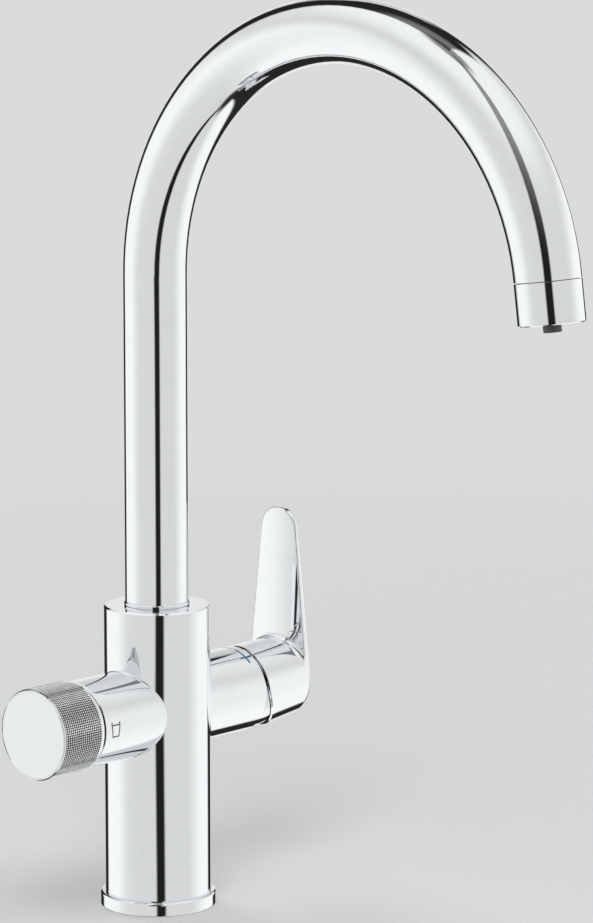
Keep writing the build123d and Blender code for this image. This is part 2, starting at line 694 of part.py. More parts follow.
def pivot_cross(radius, half):
    """A round bar through the pivot, along the lever's tilt axis."""
    across = Plane(origin=(PIVOT_X, 0, ARM_Z), x_dir=(1, 0, 0), z_dir=(0, 1, 0))
    return rod(radius, -half, half, place=across)


def cartridge_rotor():
    """The turning neck of the cartridge, slotted for the stem."""
    flange = rod(CARTRIDGE_BORE - SHOW_GAP, ROTOR_FLANGE, CARTRIDGE_SHOULDER - RUN_GAP, place=LEVER_SIDE)
    rotor = flange + rod(ROTOR_R, CARTRIDGE_SHOULDER - 1, ROTOR_TOP, place=LEVER_SIDE)
    lane = rod(ROTOR_R - 1.4, ROTOR_FLANGE - 1, ROTOR_TOP + 1, place=LEVER_SIDE)
    lane &= LEVER_SIDE * Pos(0, 0, ROTOR_TOP / 2) * Box(STEM_THICK + 2 * 0.2, 2 * ROTOR_R, 2 * ROTOR_TOP)
    return rotor - lane - pivot_cross(PIN_R + PRESS_GAP, ROTOR_R)


def rotor_pin():
    """The steel pin that the stem tilts on."""
    return pivot_cross(PIN_R, ROTOR_R - 0.3)


STEM_LEAN = LEVER_TRAVEL / 2
STEM_LINE = Plane(origin=(PIVOT_X, 0, ARM_Z), x_dir=(0, 1, 0),
                  z_dir=(cos(radians(STEM_LEAN)), 0, sin(radians(STEM_LEAN))))
CAP_LINE = Plane(origin=(PIVOT_X, 0, ARM_Z), x_dir=(0, 1, 0),
                 z_dir=(cos(radians(CAP_RISE)), 0, sin(radians(CAP_RISE))))


# the grub screw crosses the cap's axis, and its tip stops just short of the stem's lower flat
GRUB_LINE = Plane(origin=CAP_LINE.origin + CAP_LINE.z_dir * GRUB_AT, z_dir=-CAP_LINE.y_dir)
GRUB_LEAN = radians(STEM_LEAN - CAP_RISE)
GRUB_TIP = STEM_WIDE / 2 / cos(GRUB_LEAN) - (GRUB_AT - GRUB_R) * tan(GRUB_LEAN) + GRUB_TIP_GAP


def stem_bar(gap, low, high):
    """The flat-sided part of the stem, grown by a gap."""
    section = Rectangle(STEM_THICK + 2 * gap, STEM_WIDE + 2 * gap)
    return STEM_LINE * Pos(0, 0, low) * extrude(section, high - low)


def cartridge_stem():
    """The steel stem: a ball in the disc carrier, the pivot eye, and a flat-sided end in the lever."""
    stem = stem_bar(0, 0, STEM_REACH) + pivot_cross(EYE_R, STEM_THICK / 2)
    stem += rod(STEM_ROD_R, -STEM_INNER, 0, place=STEM_LINE)
    stem += STEM_LINE * Pos(0, 0, -STEM_INNER) * Sphere(BALL_R)
    return stem - pivot_cross(PIN_R + RUN_GAP, ROTOR_R)


def dome_cover():
    """The polished dome over the cartridge, which the lever's cap slides round."""
    seat = HOUSING_END - DOME_SEAT_L
    rim = HOUSING_END - DOME_STEP
    axis = Plane(origin=(0, 0, ARM_Z), x_dir=(0, 1, 0), z_dir=(1, 0, 0))
    centre = Pos(PIVOT_X, 0, ARM_Z)
    shell = centre * Sphere(DOME_R) - centre * Sphere(DOME_R - DOME_WALL)
    shell &= rod(DOME_R + 1, rim - 0.4, PIVOT_X + DOME_R + 1, place=axis)
    foot_bore = CARTRIDGE_R + 0.8
    foot = tube(DOME_SEAT_R - PRESS_GAP, foot_bore, seat, rim, place=axis)
    return shell + foot - rod(DOME_MOUTH_R, PIVOT_X, PIVOT_X + DOME_R + 1, place=axis)


def rim_cut():
    """Everything that the cap's curved rim leaves out, on the body's side."""
    centre_x, centre_z = CAP_RIM + RIM_CUT_R, ARM_Z + RIM_CUT_RISE
    across = Plane(origin=(centre_x, 0, centre_z), x_dir=(1, 0, 0), z_dir=(0, 1, 0))
    half_width = CAP_R + 2
    swing = rod(RIM_CUT_R, -half_width, half_width, place=across)
    above = Pos(CAP_RIM, 0, centre_z) * Box(RIM_CUT_R, 2 * half_width, RIM_CUT_R,
                                            align=(Align.MIN, Align.CENTER, Align.MIN))
    return swing + above


def cap_radius(along):
    """The tapered cap's radius at a distance from the pivot along its axis."""
    return CAP_R + (CAP_END_R - CAP_R) * along / CAP_END


def cap_cone(low, high):
    """A length of the cap's tapered outside, as a solid."""
    return turned([(0, low), (cap_radius(low), low), (cap_radius(high), high), (0, high)], CAP_LINE)


def leaning_bar(radius, axis_x, lean):
    """A large round bar that stands almost upright, and runs well past the blade at both ends."""
    upwards = (sin(radians(lean)), 0, cos(radians(lean)))
    axis = Plane(origin=(axis_x, 0, ARM_Z), x_dir=(1, 0, 0), z_dir=upwards)
    return rod(radius, -3 * CAP_R, BLADE_TOP - ARM_Z + 3 * BLADE_TIP_R, place=axis)


def blade_outline():
    """The blade seen along the arm: a foot circle and a tip circle joined by their tangents."""
    foot_y = BLADE_FOOT_RISE
    tip_y = BLADE_TOP - BLADE_TIP_R - ARM_Z
    slant = degrees(asin((BLADE_FOOT_R - BLADE_TIP_R) / (tip_y - foot_y)))
    foot = CenterArc((0, foot_y), BLADE_FOOT_R, 180 - slant, 180 + 2 * slant)
    tip = CenterArc((0, tip_y), BLADE_TIP_R, slant, 180 - 2 * slant)
    return make_face([foot, Line(foot @ 1, tip @ 0), tip, Line(tip @ 1, foot @ 0)])


def lever_blade():
    """The lever's blade, bowed on both sides, with the rounded fold where it leaves the cap."""
    inner_side = leaning_bar(BLADE_INNER_R, BLADE_INNER + BLADE_INNER_R, BLADE_LEAN)
    outer_side = leaning_bar(BLADE_OUTER_R, BLADE_OUTER - BLADE_OUTER_R, -BLADE_LEAN)
    whole = cap_cone(0, BLADE_INNER_R) + inner_side
    folds = [edge for edge in whole.edges() if edge.geom_type == GeomType.BSPLINE]
    whole = fillet(folds, FOLD_ROUND)
    start = Plane(origin=(BLADE_START, 0, ARM_Z), x_dir=(0, 1, 0), z_dir=(1, 0, 0))
    blade = whole & outer_side & start * extrude(blade_outline(), BLADE_INNER_R)
    curved = [edge for edge in blade.edges() if edge.geom_type != GeomType.LINE]
    blade = fillet([edge for edge in curved if edge.center().X > BLADE_HALFWAY], BLADE_ROUND)
    return fillet(blade_inner_edges(blade), BLADE_INNER_ROUND)


def blade_inner_edges(blade):
    """The edges of the blade's outline on the body's side, with those of the fold below them."""
    chosen = []
    for edge in blade.edges():
        box, middle = edge.bounding_box(), edge.center()
        on_side = abs(middle.Y) > BLADE_TIP_R and box.size.Y < BLADE_TIP_R
        above_foot = middle.Z > ARM_Z + 2 * BLADE_FOOT_RISE
        on_inside = BLADE_START + 1 < middle.X < BLADE_HALFWAY
        over_tip = box.max.Z > BLADE_TOP - BLADE_ROUND and middle.X < BLADE_HALFWAY - 1
        if edge.geom_type != GeomType.LINE and ((on_side and above_foot and on_inside) or over_tip):
            chosen.append(edge)
    return chosen


def lever_handle():
    """The lever: a tapered cap hollowed for the dome, with a curved rim and an upright blade."""
    cap = cap_cone(-CAP_R, CAP_END)
    cap = fillet(cap.edges().filter_by(GeomType.CIRCLE).sort_by(Axis.X)[-1], CAP_ROUND)
    lever = (cap & rim_cut()) + lever_blade()
    lever -= Pos(PIVOT_X, 0, ARM_Z) * Sphere(CAP_CAVITY_R)
    lever += rod(BOSS_R, BOSS_START, CAP_CAVITY_R + 1, place=STEM_LINE)
    lever -= stem_bar(PRESS_GAP, 0, STEM_REACH)
    outside = cap_radius(GRUB_AT)
    lever -= rod(GRUB_R + PRESS_GAP, 0, outside + 1, place=GRUB_LINE)
    return lever - rod(PLUG_R + PRESS_GAP, outside - PLUG_L - PLUG_BACK, outside + 1, place=GRUB_LINE)


def lever_grub_screw():
    """The small screw that locks the lever on the stem, with a hexagon socket."""
    screw = rod(GRUB_R, GRUB_TIP, GRUB_TIP + GRUB_L, place=GRUB_LINE)
    return screw - hexagon(GRUB_R, GRUB_TIP + GRUB_L - GRUB_R, GRUB_TIP + GRUB_L + 1, place=GRUB_LINE)


def lever_plug():
    """The plug that hides the grub screw, under the cap."""
    top = cap_radius(GRUB_AT) - PLUG_BACK
    return rod(PLUG_R, top - PLUG_L + 0.2, top, place=GRUB_LINE)


def headpart_seat_seal():
    """The rubber seat between the headpart and the body."""
    return tube(HEADPART_R - 0.2, VALVE_HOLE[1] + 0.4, 0, SEAT_SEAL_H, place=KNOB_SIDE)


def valve_disc(low, angle):
    """A ceramic disc with two windows, opposite each other."""
    top = low + VALVE_DISC_H
    disc = rod(VALVE_DISC_R, low, top, place=KNOB_SIDE)
    for side in (0, 180):
        disc -= sector(*VALVE_HOLE, low - 1, top + 1, angle + side, VALVE_HOLE_HALF_ANGLE, KNOB_SIDE)
    return disc


def headpart_fixed_disc():
    """The ceramic disc that stays still in the headpart."""
    return valve_disc(SEAT_SEAL_H, 0)


def headpart_moving_disc():
    """The ceramic disc that the knob turns; its windows are a quarter turn off at rest."""
    return valve_disc(SEAT_SEAL_H + VALVE_DISC_H + 0.05, 90)


def headpart_body():
    """The brass headpart: disc chamber with windows, thread, hexagon and neck."""
    bore = SPINDLE_R + RUN_GAP
    body = turned([
        (HEADPART_BORE, SEAT_SEAL_H), (HEADPART_R, SEAT_SEAL_H), (HEADPART_R, THREAD_START),
        (HEADPART_THREAD_R - PRESS_GAP, THREAD_START), (HEADPART_THREAD_R - PRESS_GAP, HEX_START),
        (HEADPART_NECK_R, HEX_START), (HEADPART_NECK_R, HEADPART_END), (bore, HEADPART_END),
        (bore, THREAD_START + 0.3), (HEADPART_BORE, THREAD_START + 0.3),
    ], KNOB_SIDE)
    hexagon_bar = hexagon(HEADPART_HEX_AF, HEX_START, HEX_END, place=KNOB_SIDE)
    body += hexagon_bar - rod(bore, 0, HEX_END + 1, place=KNOB_SIDE)
    window_low, window_high = SEAT_SEAL_H + VALVE_DISC_H + SHOW_GAP, CHAMBER[1] - SHOW_GAP
    for angle in (0, 60, 120):
        window = Box(3 * HEADPART_R, WINDOW_WIDE, window_high - window_low,
                     align=(Align.CENTER, Align.CENTER, Align.MIN))
        body -= KNOB_SIDE * Pos(0, 0, window_low) * Rot(0, 0, angle) * window
    return body


def headpart_spindle():
    """The spindle that turns the moving disc, with grooves for its rings and clip."""
    low = SEAT_SEAL_H + 2 * VALVE_DISC_H + 0.1
    spindle = rod(SPINDLE_FLANGE_R, low, THREAD_START, place=KNOB_SIDE)
    spindle += rod(SPINDLE_R, low, SPINDLE_END, place=KNOB_SIDE)
    for height in SPINDLE_RINGS:
        spindle -= KNOB_SIDE * Pos(0, 0, height) * Torus(SPINDLE_RING_MAJOR, SPINDLE_RING_MINOR + PRESS_GAP)
    groove = HEADPART_END + 0.1
    spindle -= tube(SPINDLE_R + 1, SPINDLE_R - 0.8, groove, groove + CLIP_H, place=KNOB_SIDE)
    for side in (-1, 1):
        flat = Box(2 * SPINDLE_R, 2, SPINDLE_END, align=(Align.CENTER, Align.CENTER, Align.MIN))
        spindle -= KNOB_SIDE * Pos(0, side * SPINDLE_R, HEADPART_END + 1.2) * flat
    screw_hole = rod(KNOB_SCREW_R + PRESS_GAP, SPINDLE_END - KNOB_SCREW_L, SPINDLE_END + 1, place=KNOB_SIDE)
    return spindle - screw_hole


def spindle_seals():
    """The two small rubber rings on the spindle."""
    return Part() + [KNOB_SIDE * Pos(0, 0, height) * Torus(SPINDLE_RING_MAJOR, SPINDLE_RING_MINOR)
                     for height in SPINDLE_RINGS]


def spindle_clip():
    """The split ring that holds the spindle in the headpart."""
    low = HEADPART_END + 0.1 + 0.05
    clip = tube(SPINDLE_R + 2, SPINDLE_R - 0.8 + PRESS_GAP, low, low + CLIP_H - 0.1, place=KNOB_SIDE)
    gap = Box(SPINDLE_R * 3, 2.5, 4, align=(Align.MIN, Align.CENTER, Align.CENTER))
    return clip - KNOB_SIDE * Pos(0, 0, low) * gap


STOP_ANGLE = 270


def knob_stop_ring():
    """The fixed ring on the headpart's neck, whose wide tab limits the knob's turn."""
    ring = tube(STOP_RING_R, HEADPART_NECK_R + PRESS_GAP, *STOP_RING, place=KNOB_SIDE)
    return ring + sector(STOP_RING_R - 1, STOP_TAB_R, *STOP_RING, STOP_ANGLE, STOP_TAB_HALF, KNOB_SIDE)


def knob_insert():
    """The plastic core of the knob: a plate on the spindle, a skirt, and the rib that meets the stop."""
    bore = SPINDLE_R + PRESS_GAP
    skirt_low, plate_low = INSERT_SKIRT
    outer = KNOB_BORE_R - PRESS_GAP
    insert = rod(outer, plate_low, INSERT_TOP, place=KNOB_SIDE)
    insert += tube(outer, outer - INSERT_WALL, skirt_low, plate_low + 1, place=KNOB_SIDE)
    insert += rod(INSERT_BOSS_R, HEADPART_END + 1.4, plate_low + 1, place=KNOB_SIDE)
    rib_angle, rib_outer = STOP_ANGLE + 180 - KNOB_TRAVEL / 2, outer - INSERT_WALL / 2
    insert += sector(STOP_RIB_R, rib_outer, skirt_low, plate_low + 1, rib_angle, STOP_RIB_HALF, KNOB_SIDE)
    flats = rod(bore, 0, SPINDLE_END, place=KNOB_SIDE)
    flats &= KNOB_SIDE * Box(4 * bore, 2 * (SPINDLE_R - 1 + PRESS_GAP), 2 * SPINDLE_END)
    insert -= flats
    return insert - rod(KNOB_SCREW_R + 0.2, SPINDLE_END - 1, INSERT_TOP + 1, place=KNOB_SIDE)


def knob_screw():
    """The screw that holds the knob on the spindle."""
    head_top = INSERT_TOP + 2.2
    screw = rod(KNOB_SCREW_R, SPINDLE_END - KNOB_SCREW_L + 0.5, INSERT_TOP + 0.1, place=KNOB_SIDE)
    screw += rod(KNOB_SCREW_R * 1.75, INSERT_TOP, head_top, place=KNOB_SIDE)
    return screw - hexagon(KNOB_SCREW_R * 1.25, head_top - 1.5, head_top + 1, place=KNOB_SIDE)


def knob_sleeve():
    """The knob's metal sleeve, with fine flutes round its band."""
    low, high = KNOB_BAND
    tips = [polar(KNOB_R - KNURL_DEPTH * (step % 2), 180 * step / KNURL_COUNT)
            for step in range(2 * KNURL_COUNT)]
    band = KNOB_SIDE * Pos(0, 0, low) * extrude(make_face(Polyline(*tips, close=True)), high - low)
    foot_r, step_z = KNOB_R - 0.25, KNOB_FACE - KNOB_CAP_H
    sleeve = band + turned([(0, KNOB_START), (foot_r - 0.3, KNOB_START), (foot_r, KNOB_START + 0.3),
                            (foot_r, low), (0, low)], KNOB_SIDE)
    sleeve += turned([(0, high), (KNOB_R - 0.15, high), (KNOB_CAP_R + 0.25, KNOB_FACE), (0, KNOB_FACE)],
                     KNOB_SIDE)
    sleeve -= rod(KNOB_BORE_R, 0, KNOB_FACE + 1, place=KNOB_SIDE)
    return sleeve - rod(KNOB_CAP_R, step_z, KNOB_FACE + 1, place=KNOB_SIDE)


def knob_end_cap():
    """The satin disc in the knob's end, with its snap skirt."""
    step_z = KNOB_FACE - KNOB_CAP_H
    skirt = KNOB_BORE_R - PRESS_GAP
    cap = rod(KNOB_CAP_R - PRESS_GAP, step_z, KNOB_FACE - 0.15, place=KNOB_SIDE)
    cap = chamfer(cap.edges().filter_by(GeomType.CIRCLE).sort_by(Axis.X)[0], 0.3)
    return cap + tube(skirt, skirt - 1, INSERT_TOP + 0.5, step_z + 0.1, place=KNOB_SIDE)


NODES = {
    "body_column": body_column,
    "hot_mark": hot_mark,
    "cold_mark": cold_mark,
    "glass_mark": glass_mark,
    "base_ring": base_ring,
    "base_seal": base_seal,
    "mounting_stud": mounting_stud,
    "clamp_gasket": clamp_gasket,
    "clamp_plate": clamp_plate,
    "clamp_nut": clamp_nut,
    "spout_tube": spout_tube,
    "spout_foot": spout_foot,
    "spout_slide_rings": spout_slide_rings,
    "spout_seals": spout_seals,
    "spout_collar": spout_collar,
    "spout_stop_screw": spout_stop_screw,
    "filter_nipple": filter_nipple,
    "nipple_seal": nipple_seal,
    "filter_fitting": filter_fitting,
    "filter_tube": filter_tube,
    "outlet_connector": outlet_connector,
    "outlet_sleeve": outlet_sleeve,
    "aerator_seal": aerator_seal,
    "aerator_insert": aerator_insert,
    "filter_nozzle": filter_nozzle,
    "cartridge_seals": cartridge_seals,
    "cartridge_base": cartridge_base,
    "cartridge_fixed_disc": cartridge_fixed_disc,
    "cartridge_case": cartridge_case,
    "cartridge_nut": cartridge_nut,
    "cartridge_moving_disc": cartridge_moving_disc,
    "disc_carrier": disc_carrier,
    "cartridge_rotor": cartridge_rotor,
    "rotor_pin": rotor_pin,
    "cartridge_stem": cartridge_stem,
    "dome_cover": dome_cover,
    "lever_handle": lever_handle,
    "lever_grub_screw": lever_grub_screw,
    "lever_plug": lever_plug,
    "headpart_seat_seal": headpart_seat_seal,
    "headpart_fixed_disc": headpart_fixed_disc,
    "headpart_moving_disc": headpart_moving_disc,
    "headpart_body": headpart_body,
    "headpart_spindle": headpart_spindle,
    "spindle_seals": spindle_seals,
    "spindle_clip": spindle_clip,
    "knob_stop_ring": knob_stop_ring,
    "knob_insert": knob_insert,
    "knob_screw": knob_screw,
    "knob_sleeve": knob_sleeve,
    "knob_end_cap": knob_end_cap,
}

for name, make in NODES.items():
    export_step(make(), f"parts/{name}.step")
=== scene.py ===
"""The looks of a kitchen tap with a filter knob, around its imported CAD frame."""

import json
import math

import bmesh
import bpy
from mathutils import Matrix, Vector


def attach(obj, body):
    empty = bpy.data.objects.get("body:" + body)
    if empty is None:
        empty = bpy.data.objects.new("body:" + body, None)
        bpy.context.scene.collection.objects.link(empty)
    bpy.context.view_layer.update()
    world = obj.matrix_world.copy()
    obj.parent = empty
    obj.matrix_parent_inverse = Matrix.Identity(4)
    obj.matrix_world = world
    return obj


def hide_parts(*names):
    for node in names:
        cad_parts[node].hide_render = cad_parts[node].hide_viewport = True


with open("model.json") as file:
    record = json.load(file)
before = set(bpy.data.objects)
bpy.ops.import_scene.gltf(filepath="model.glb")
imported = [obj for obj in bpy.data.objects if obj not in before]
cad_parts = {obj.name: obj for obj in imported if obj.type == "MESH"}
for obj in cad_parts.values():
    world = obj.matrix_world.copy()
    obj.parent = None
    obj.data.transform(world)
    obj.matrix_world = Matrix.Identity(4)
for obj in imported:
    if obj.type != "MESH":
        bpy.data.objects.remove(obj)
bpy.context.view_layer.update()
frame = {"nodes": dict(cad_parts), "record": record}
nodes = frame["nodes"]

# Sizes shared with the CAD source, in metres
ARM_Z = 0.0892
KNOB_SEAT_X = -0.022
KNOB_R = 0.020
KNOB_START = 0.0311
KNOB_BAND = (0.0327, 0.0545)
KNOB_FACE = 0.0552
KNOB_CAP_R = 0.01905
KNOB_CAP_H = 0.0018
KNOB_BORE_R = 0.018
KNURL_AROUND = 120
KNURL_ROWS = 19
KNURL_DEPTH = 0.00026
KNURL_TOP = (0.28, 0.72)
FOOT_STEP = 0.00025
FOOT_ROUND = 0.0003
FOOT_ROUND_HALF = 0.00009
END_STEP = 0.00015
BAND_EDGE = 0.00005

# The camera's place and aim, from the photograph's outline
CAMERA_AT = (-1.3277, -1.28285, 0.50046)
CAMERA_YAW = 47.898
CAMERA_PITCH = 9.274
CAMERA_LENS = 166.07
CAMERA_AZIMUTH = math.radians(-CAMERA_YAW)

# The room: colours and levels for the floor, the eye, plain surfaces and metal
FLOOR_DARK = (0.655, 0.66, 0.665, 1.0)
FLOOR_PALE = (0.685, 0.69, 0.695, 1.0)
EYE_GREY = (0.70, 0.705, 0.71, 1.0)
FILL_WHITE = (1.0, 1.0, 1.0, 1.0)
FILL_LEVEL = 0.55
WALL_TINT = (0.985, 0.995, 1.0, 1.0)
WALL_LOW = 0.775
WALL_HIGH = 1.015
SIDE_GAIN = 0.30
PANEL_GAIN = 0.85

# Soft lamps: name, place, aim, size and power
LAMPS = (("key_lamp", (-1.2, -0.9, 1.7), (0.0, -0.08, 0.15), 1.1, 18.0),
         ("fill_lamp", (1.3, -1.0, 1.2), (0.0, -0.08, 0.15), 1.2, 9.0),
         ("back_lamp", (0.4, 1.4, 1.4), (0.0, -0.08, 0.2), 1.0, 8.0))


class Nodes:
    """A short way to write a node tree."""

    def __init__(self, tree):
        self.tree = tree
        tree.nodes.clear()

    def add(self, kind, inputs=None, **settings):
        node = self.tree.nodes.new(kind)
        for name, value in settings.items():
            setattr(node, name, value)
        for name, value in (inputs or {}).items():
            self.set(node.inputs[name], value)
        return node

    def set(self, socket, value):
        if isinstance(value, bpy.types.NodeSocket):
            self.tree.links.new(value, socket)
        else:
            socket.default_value = value

    def math(self, operation, first, second=0.0, third=0.0, clamp=False):
        node = self.add("ShaderNodeMath", operation=operation, use_clamp=clamp)
        for socket, value in zip(node.inputs, (first, second, third)):
            self.set(socket, value)
        return node.outputs[0]

    def span(self, value, low, high, to_low=0.0, to_high=1.0, smooth=True):
        kind = "SMOOTHSTEP" if smooth else "LINEAR"
        node = self.add("ShaderNodeMapRange", interpolation_type=kind, clamp=True)
        for name, number in (("Value", value), ("From Min", low), ("From Max", high),
                             ("To Min", to_low), ("To Max", to_high)):
            self.set(node.inputs[name], number)
        return node.outputs["Result"]

    def band(self, value, low, high, soft):
        """1 between low and high, 0 outside, with soft edges."""
        rise = self.span(value, low - soft, low + soft)
        fall = self.span(value, high - soft, high + soft, 1.0, 0.0)
        return self.math("MULTIPLY", rise, fall)

    def noise(self, vector, scale, detail=3.0, rough=0.55, stretch=None):
        if stretch is not None:
            mapping = self.add("ShaderNodeMapping", {"Vector": vector, "Scale": stretch})
            vector = mapping.outputs["Vector"]
        node = self.add("ShaderNodeTexNoise", {"Vector": vector, "Scale": scale, "Detail": detail,
                                               "Roughness": rough})
        return node.outputs["Fac"]

    def mix(self, factor, first, second):
        node = self.add("ShaderNodeMix", data_type="RGBA")
        self.set(node.inputs["Factor"], factor)
        colour_sockets = [socket for socket in node.inputs if socket.type == "RGBA"]
        self.set(colour_sockets[0], first)
        self.set(colour_sockets[1], second)
        return [socket for socket in node.outputs if socket.type == "RGBA"][0]

    def bump(self, height, distance, strength=1.0, normal=None):
        inputs = {"Height": height, "Distance": distance, "Strength": strength}
        if normal is not None:
            inputs["Normal"] = normal
        return self.add("ShaderNodeBump", inputs).outputs["Normal"]


def rgba(colour, gain=1.0):
    return tuple(min(1.0, part * gain) for part in colour) + (1.0,)


def principled(name):
    """A new material with its node helper, shader and object coordinates."""
    material = bpy.data.materials.new(name)
    material.use_nodes = True
    tree = Nodes(material.node_tree)
    shader = tree.add("ShaderNodeBsdfPrincipled")
    output = tree.add("ShaderNodeOutputMaterial")
    tree.tree.links.new(shader.outputs["BSDF"], output.inputs["Surface"])
    place = tree.add("ShaderNodeTexCoord").outputs["Object"]
    return material, tree, shader, place


def wear_mask(tree, place, radius, low, high):
    """1 on worn convex edges, from the difference between the rounded and the true normal."""
    rounded = tree.add("ShaderNodeBevel", {"Radius": radius}, samples=4).outputs["Normal"]
    true_normal = tree.add("ShaderNodeNewGeometry").outputs["Normal"]
    agree = tree.add("ShaderNodeVectorMath", operation="DOT_PRODUCT")
    tree.set(agree.inputs[0], rounded)
    tree.set(agree.inputs[1], true_normal)
    edge = tree.span(agree.outputs["Value"], 0.999, 0.93, 0.0, 1.0)
    patches = tree.span(tree.noise(place, 260.0, 4.0), low, high)
    return tree.math("MULTIPLY", edge, patches)


def polished(name, colour, rough_low, rough_high, haze=0.03, ripple=0.00002):
    """Bright plating: faint wiping haze, water marks, hairline marks and a slight ripple."""
    material, tree, shader, place = principled(name)
    wiping = tree.noise(place, 26.0, 3.0, 0.6, stretch=(1.0, 1.0, 0.35))
    prints = tree.noise(place, 140.0, 4.0, 0.6)
    hairs = tree.noise(place, 900.0, 2.0, 0.7, stretch=(1.0, 1.0, 0.04))
    spots = tree.add("ShaderNodeTexVoronoi", {"Vector": place, "Scale": 95.0, "Randomness": 1.0})
    ring = tree.band(spots.outputs["Distance"], 0.10, 0.13, 0.012)
    sparse = tree.span(tree.noise(place, 18.0, 1.0), 0.56, 0.66)
    marks = tree.math("MULTIPLY", ring, sparse)
    rough = tree.span(wiping, 0.3, 0.7, rough_low, rough_high)
    rough = tree.math("MULTIPLY_ADD", tree.span(prints, 0.55, 0.75), haze, rough)
    rough = tree.math("MULTIPLY_ADD", marks, haze * 1.6, rough)
    rough = tree.math("MULTIPLY_ADD", tree.span(hairs, 0.62, 0.72), haze * 0.7, rough, clamp=True)
    tree.set(shader.inputs["Roughness"], rough)
    dulled = tree.math("MULTIPLY_ADD", marks, 0.5, tree.span(prints, 0.5, 0.8, 0.0, 0.5))
    tree.set(shader.inputs["Base Color"], tree.mix(dulled, rgba(colour), rgba(colour, 0.93)))
    shader.inputs["Metallic"].default_value = 1.0
    wave = tree.noise(place, 34.0, 1.0)
    normal = tree.bump(wave, ripple, 0.35)
    normal = tree.bump(hairs, 0.0000015, 0.25, normal)
    tree.set(shader.inputs["Normal"], normal)
    return material


def knurled(name, colour):
    """Plating on the knurl: a painted highlight on the raised tips and painted shade, near black, down in
    the grooves, which are also rougher.
    """
    material, tree, shader, place = principled(name)
    parts = tree.add("ShaderNodeSeparateXYZ", {"Vector": place})
    up = tree.math("SUBTRACT", parts.outputs["Z"], ARM_Z)
    radius = tree.math("SQRT", tree.math("ADD", tree.math("MULTIPLY", up, up),
                                         tree.math("MULTIPLY", parts.outputs["Y"], parts.outputs["Y"])))
    raised = tree.span(radius, KNOB_R - KNURL_DEPTH * 0.70, KNOB_R - KNURL_DEPTH * 0.20)
    # Painted shade and highlight: the grooves are coloured near black, and the raised tips brighter than the
    # plating, varied a little by noise
    tip_highlight_noise = tree.span(tree.noise(place, 420.0, 4.0, 0.65), 0.3, 0.7, 0.8, 1.0)
    shade = tree.mix(tree.math("MULTIPLY", raised, tip_highlight_noise), rgba(colour, 0.02), rgba(colour, 1.12))
    tree.set(shader.inputs["Base Color"], shade)
    fine = tree.noise(place, 1500.0, 3.0, 0.6)
    dull = tree.span(raised, 0.0, 1.0, 0.20, 0.05)
    rough = tree.math("MULTIPLY_ADD", tree.span(fine, 0.3, 0.7), 0.06, dull)
    tree.set(shader.inputs["Roughness"], rough)
    shader.inputs["Metallic"].default_value = 1.0
    tree.set(shader.inputs["Normal"], tree.bump(fine, 0.000004, 0.4))
    return material


def machined(name, colour, rough_low, rough_high, axis, line=5200.0, depth=0.000004,
             centre=(0.0, 0.0, 0.0), shade_low=0.93, shade_high=1.04):
    """Turned metal: fine lines round an axis, with a changing shade and worn edges."""
    material, tree, shader, place = principled(name)
    parts = tree.add("ShaderNodeSeparateXYZ", {"Vector": place})
    shifted = [tree.math("SUBTRACT", parts.outputs[i], centre[i]) for i in range(3)]
    across = [shifted[i] for i in range(3) if i != axis]
    radius = tree.math("SQRT", tree.math("ADD", tree.math("MULTIPLY", across[0], across[0]),
                                         tree.math("MULTIPLY", across[1], across[1])))
    lathe = tree.add("ShaderNodeCombineXYZ", {"X": radius, "Y": shifted[axis], "Z": 0.0}).outputs["Vector"]
    lines = tree.noise(lathe, line, 2.0, 0.6)
    broad = tree.noise(lathe, line * 0.12, 2.0, 0.6)
    patches = tree.noise(place, 120.0, 4.0)
    rough = tree.span(lines, 0.3, 0.7, rough_low, rough_high)
    rough = tree.math("MULTIPLY_ADD", tree.span(patches, 0.5, 0.8), 0.06, rough, clamp=True)
    tree.set(shader.inputs["Roughness"], rough)
    worn = wear_mask(tree, place, 0.0004, 0.4, 0.6)
    shade = tree.mix(tree.span(broad, 0.35, 0.65), rgba(colour, shade_low), rgba(colour, shade_high))
    tree.set(shader.inputs["Base Color"], tree.mix(worn, shade, rgba(colour, 1.15)))
    shader.inputs["Metallic"].default_value = 1.0
    normal = tree.bump(lines, depth, 0.6)
    tree.set(shader.inputs["Normal"], normal)
    return material


def moulded(name, colour, rough_low, rough_high, grain=2600.0, depth=0.000012, coat=0.0):
    """Plastic, rubber or ceramic: a fine grain, a slow change of shade and rubbed edges."""
    material, tree, shader, place = principled(name)
    grains = tree.noise(place, grain, 3.0, 0.6)
    slow = tree.noise(place, 70.0, 3.0)
    dust = tree.span(tree.noise(place, 420.0, 5.0, 0.7), 0.56, 0.72)
    rough = tree.span(slow, 0.3, 0.7, rough_low, rough_high)
    rough = tree.math("MULTIPLY_ADD", dust, 0.08, rough, clamp=True)
    tree.set(shader.inputs["Roughness"], rough)
    shade = tree.mix(tree.span(slow, 0.35, 0.65), rgba(colour, 0.94), rgba(colour, 1.06))
    pale = tuple(part * 0.92 + 0.03 for part in colour)
    shade = tree.mix(tree.math("MULTIPLY", dust, 0.5), shade, rgba(pale))
    worn = wear_mask(tree, place, 0.0004, 0.45, 0.65)
    rubbed = tuple(part * 0.9 + 0.06 for part in colour)
    tree.set(shader.inputs["Base Color"], tree.mix(worn, shade, rgba(rubbed)))
    shader.inputs["Coat Weight"].default_value = coat
    shader.inputs["Coat Roughness"].default_value = 0.12
    tree.set(shader.inputs["Normal"], tree.bump(grains, depth, 0.5))
    return material


